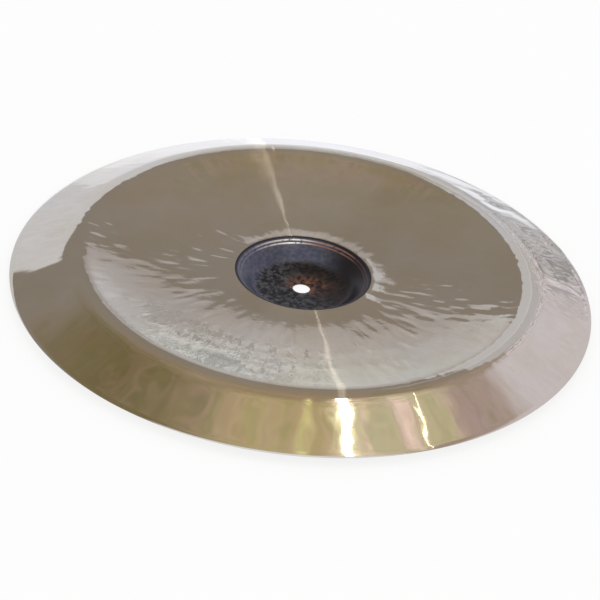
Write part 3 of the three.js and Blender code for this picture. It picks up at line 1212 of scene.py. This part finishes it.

# %% [markdown]
# ## The raw cup
#
# The cup is left as it came from the furnace and the press: a skin of oxide, blue-black on the
# wall and mottled on the floor, with rust-coloured stains round the hole where felts have rubbed.
# A painted reflection makes the wall pale blue on the left and nearly black on the right, and a
# painted highlight lies on the crests of its rings. It is duller than the bow and less metallic,
# so it gets a material of its own, and the faces inside the lip take it.

# %% The cup's material
CUP_GREY = rgb(0.088, 0.090, 0.098)
CUP_BROWN = rgb(0.036, 0.024, 0.018)
CUP_BLACK = rgb(0.010, 0.009, 0.011)
CUP_RUST = rgb(0.205, 0.078, 0.036)
# Painted reflection on the cup's wall: blue and pale blue on the left, nearly black on the right.
CUP_BLUE_OXIDE_AND_REFLECTION = rgb(0.066, 0.071, 0.110)
CUP_PALE_BLUE_REFLECTION = rgb(0.112, 0.110, 0.138)
CUP_RIGHT_DARK_REFLECTION = rgb(0.022, 0.018, 0.020)
CUP_LIP = rgb(0.026, 0.019, 0.026)
# Colours of the painted highlight on the ring crests: pale on the left, reddish on the right.
CREST_HIGHLIGHT_LEFT = rgb(0.780, 0.740, 0.740)
CREST_HIGHLIGHT_RIGHT = rgb(0.500, 0.300, 0.270)
MOTTLE_SIZE = 360.0
SPECK_SIZE = 400.0
RUST_PLACE = (4 * MM, 5 * MM, 0.0)
RUST_REACH = (17 * MM, 3 * MM)
# Extra metallic where the ring crests get their painted highlight.
CREST_HIGHLIGHT_METALLIC = 0.6
SKIN_METALLIC = 0.35
SKIN_ROUGHNESS = 0.30
SKIN_SPECULAR = 0.3
CUP_EDGE_OUT = 47.9 * MM


def crest_highlights(tree, out, y):
    """A painted highlight on the crests of the rings: 0 away from them, and brightest on the far
    side.
    """
    total = 0.0
    for place in RING_PLACES_OUT:
        crest = window_of(tree, out, (place - 0.8 * MM, place - 0.2 * MM),
                          (place + 0.1 * MM, place + 0.6 * MM))
        total = plus(tree, crest, total)
    return times(tree, total, smooth_range(tree, y, 22 * MM, 40 * MM, 0.10, 1.0))


def floor_skin(tree, place, mottle):
    """The skin of the cup's floor: grey and black patches, browner to the right, and rust beyond
    the hole."""
    x, y, _ = parts_of(tree, place)
    to_right = smooth_range(tree, plus(tree, x, times(tree, y, 0.6)), -8 * MM, 22 * MM)
    pale = blend(tree, to_right, CUP_GREY, CUP_BROWN)
    skin = blend(tree, smooth_range(tree, mottle, 0.42, 0.62), CUP_BLACK, pale)
    from_rust = vector_maths(tree, "SUBTRACT", place, RUST_PLACE)
    away = length_of(tree, vector_maths(tree, "MULTIPLY", from_rust, (0.75, 1.0, 0.0)))
    specks = soft_noise(tree, place, SPECK_SIZE, 3.0)
    rust = times(tree, smooth_range(tree, away, *RUST_REACH),
                 smooth_range(tree, specks, *PATCH_EDGES))
    return blend(tree, rust, skin, CUP_RUST)


def wall_skin_and_reflection(tree, x, out, mottle):
    """The cup's wall: dark oxide with a painted reflection, mottled blue and pale blue on the left
    and nearly black on the right, and nearly black at the lip.
    """
    blue = blend(tree, smooth_range(tree, mottle, 0.38, 0.70), CUP_BLUE_OXIDE_AND_REFLECTION, CUP_PALE_BLUE_REFLECTION)
    wall = blend(tree, smooth_range(tree, x, 8 * MM, 32 * MM), blue, CUP_RIGHT_DARK_REFLECTION)
    return blend(tree, smooth_range(tree, out, 45.6 * MM, 46.6 * MM), wall, CUP_LIP)


def cup_material():
    """A dark oxide skin on the wall with a painted reflection, painted highlights on the crests of
    its rings, and a stained floor.
    """
    material = bpy.data.materials.new("raw_cup")
    tree = empty_tree(material)
    place = put(tree, "ShaderNodeTexCoord", output="Object")
    out = way_out(tree, place)
    x, y, _ = parts_of(tree, place)
    mottle = soft_noise(tree, place, MOTTLE_SIZE, 4.0, 0.6)
    # The wall's oxide skin with its painted reflection.
    wall = wall_skin_and_reflection(tree, x, out, mottle)
    # Painted highlight on the ring crests, strongest on the far side and more metallic there.
    crest_highlight = times(tree, crest_highlights(tree, out, y), smooth_range(tree, mottle, 0.26, 0.48))
    crest = blend(tree, smooth_range(tree, x, -6 * MM, 10 * MM), CREST_HIGHLIGHT_LEFT, CREST_HIGHLIGHT_RIGHT)
    wall = blend(tree, crest_highlight, wall, crest)
    on_floor = smooth_range(tree, out, 36 * MM, 29 * MM)
    skin = blend(tree, on_floor, wall, floor_skin(tree, place, mottle))
    metallic = plus(tree, times(tree, crest_highlight, CREST_HIGHLIGHT_METALLIC), SKIN_METALLIC)
    surface = put(tree, "ShaderNodeBsdfPrincipled", {
        "Base Color": skin, "Metallic": metallic, "Roughness": SKIN_ROUGHNESS,
        "Specular IOR Level": SKIN_SPECULAR})
    put(tree, "ShaderNodeOutputMaterial", {"Surface": surface})
    return material


def dress(mesh):
    """Bronze everywhere, and the raw skin on the faces whose middle lies inside the cup's lip."""
    mesh.materials.append(bronze_material())
    mesh.materials.append(cup_material())
    centres = np.empty(3 * len(mesh.polygons), np.float32)
    mesh.polygons.foreach_get("center", centres)
    inside = np.hypot(*centres.reshape(-1, 3)[:, :2].T) < CUP_EDGE_OUT
    mesh.polygons.foreach_set("material_index", inside.astype(np.int32))
    return int(inside.sum())


print("faces in the cup:", dress(sheet_mesh))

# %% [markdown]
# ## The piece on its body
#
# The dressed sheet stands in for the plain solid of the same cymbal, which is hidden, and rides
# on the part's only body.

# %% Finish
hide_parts("cymbal")
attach(cymbal, "root")
